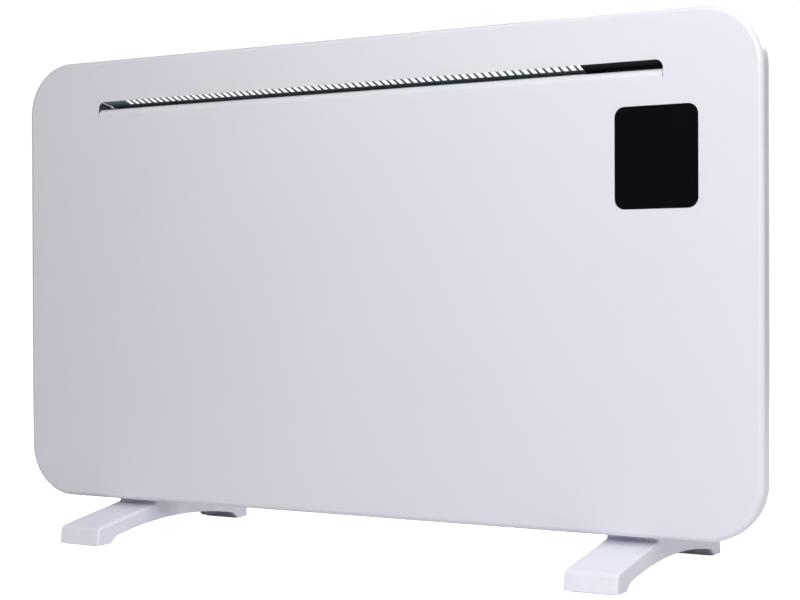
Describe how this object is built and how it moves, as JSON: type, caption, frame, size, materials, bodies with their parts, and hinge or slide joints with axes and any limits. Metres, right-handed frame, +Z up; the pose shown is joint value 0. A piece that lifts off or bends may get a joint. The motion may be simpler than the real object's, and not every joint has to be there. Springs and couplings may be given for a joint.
{
  "type": "wall panel convector heater",
  "caption": "Slim steel panel convector heater on two moulded feet, with a rolled air outlet slot near its top, a slotted grille behind it and a black touch display.",
  "frame": {"origin": "on the floor, under the middle of the feet and of the panel's width", "axes": "+X to the viewer's right along the panel, -Y out of the front panel, +Z up"},
  "size_m": [0.76, 0.243, 0.4662],
  "materials": {
    "white_steel": "gloss powder coat",
    "casing_steel": "satin powder coat",
    "slate_steel": "satin",
    "zinc_steel": "zinc coated",
    "bright_steel": "bright plated",
    "aluminium": "mill finish",
    "ceramic": "matte ceramic",
    "black_glass": "gloss, opaque black backing",
    "black_plastic": "moulded, fine texture",
    "white_plastic": "moulded, smooth",
    "circuit_board": "solder mask",
    "red_plastic": "moulded, gloss",
    "rubber": "matte"
  },
  "bodies": {
    "heater": {"front_panel": "white_steel", "rear_casing": "casing_steel", "outlet_grille": "slate_steel", "heat_shield": "zinc_steel", "duct_wall_left": "zinc_steel", "duct_wall_right": "zinc_steel", "element_bracket": "zinc_steel", "foot_seat_left": "zinc_steel", "foot_seat_right": "zinc_steel", "heating_element_left": "aluminium", "heating_element_right": "aluminium", "board_heat_sink": "aluminium", "insulator_left_outer": "ceramic", "insulator_left_inner": "ceramic", "insulator_right_inner": "ceramic", "insulator_right_outer": "ceramic", "thermal_cutout": "ceramic", "display_glass": "black_glass", "display_frame": "black_plastic", "control_housing": "black_plastic", "control_housing_cover": "black_plastic", "heater_relay": "black_plastic", "cord_gland": "black_plastic", "gland_nut": "black_plastic", "switch_body": "black_plastic", "display_board": "circuit_board", "power_board": "circuit_board", "board_transformer": "bright_steel", "room_sensor": "white_plastic", "terminal_block": "white_plastic", "tilt_switch_body": "white_plastic", "tilt_switch_cover": "white_plastic", "foot_left": "white_plastic", "foot_right": "white_plastic", "foot_pad_left_front": "rubber", "foot_pad_left_rear": "rubber", "foot_pad_right_front": "rubber", "foot_pad_right_rear": "rubber", "foot_screw_left_front": "bright_steel", "foot_screw_left_rear": "bright_steel", "foot_screw_right_front": "bright_steel", "foot_screw_right_rear": "bright_steel", "casing_screw_1": "bright_steel", "casing_screw_2": "bright_steel", "casing_screw_3": "bright_steel", "casing_screw_4": "bright_steel", "casing_screw_5": "bright_steel", "casing_screw_6": "bright_steel", "casing_screw_7": "bright_steel", "casing_screw_8": "bright_steel"},
    "rocker": {"switch_rocker": "red_plastic"},
    "pendulum": {"tilt_switch_pendulum": "bright_steel"}
  },
  "joints": [
    {"name": "rocker_press", "type": "hinge", "parent": "heater", "child": "rocker", "pos_m": [0.3568, -0.0054, 0.1982], "axis": [0, -1, 0], "range_deg": [0, 18]},
    {"name": "pendulum_swing", "type": "hinge", "parent": "heater", "child": "pendulum", "pos_m": [0.29825, -0.00705, 0.0785], "axis": [1, 0, 0], "range_deg": [-17, 17]}
  ]
}
